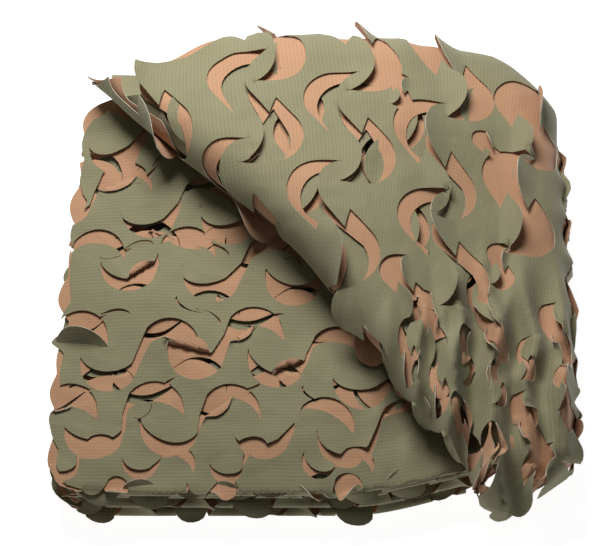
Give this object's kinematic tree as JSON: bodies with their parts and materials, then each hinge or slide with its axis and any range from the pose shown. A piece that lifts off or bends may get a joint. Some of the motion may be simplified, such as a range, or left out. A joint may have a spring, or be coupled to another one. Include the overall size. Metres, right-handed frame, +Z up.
{
  "type": "folded camouflage netting",
  "caption": "Reversible leaf-cut camouflage net cloth, folded back and forth into a thick square pad with its top layers turned back over a diagonal.",
  "frame": {"origin": "middle of the footprint's bounding rectangle, on the surface that the folded net lies on", "axes": "+Z up through the layers; -Y toward the near side, where the folds show as ridges; +X toward the side that the turned flap covers"},
  "size_m": [0.496, 0.498, 0.152],
  "materials": {
    "net_cloth": "matte ripstop fabric, green side out"
  },
  "bodies": {
    "root": {"netting": "net_cloth"}
  },
  "joints": []
}
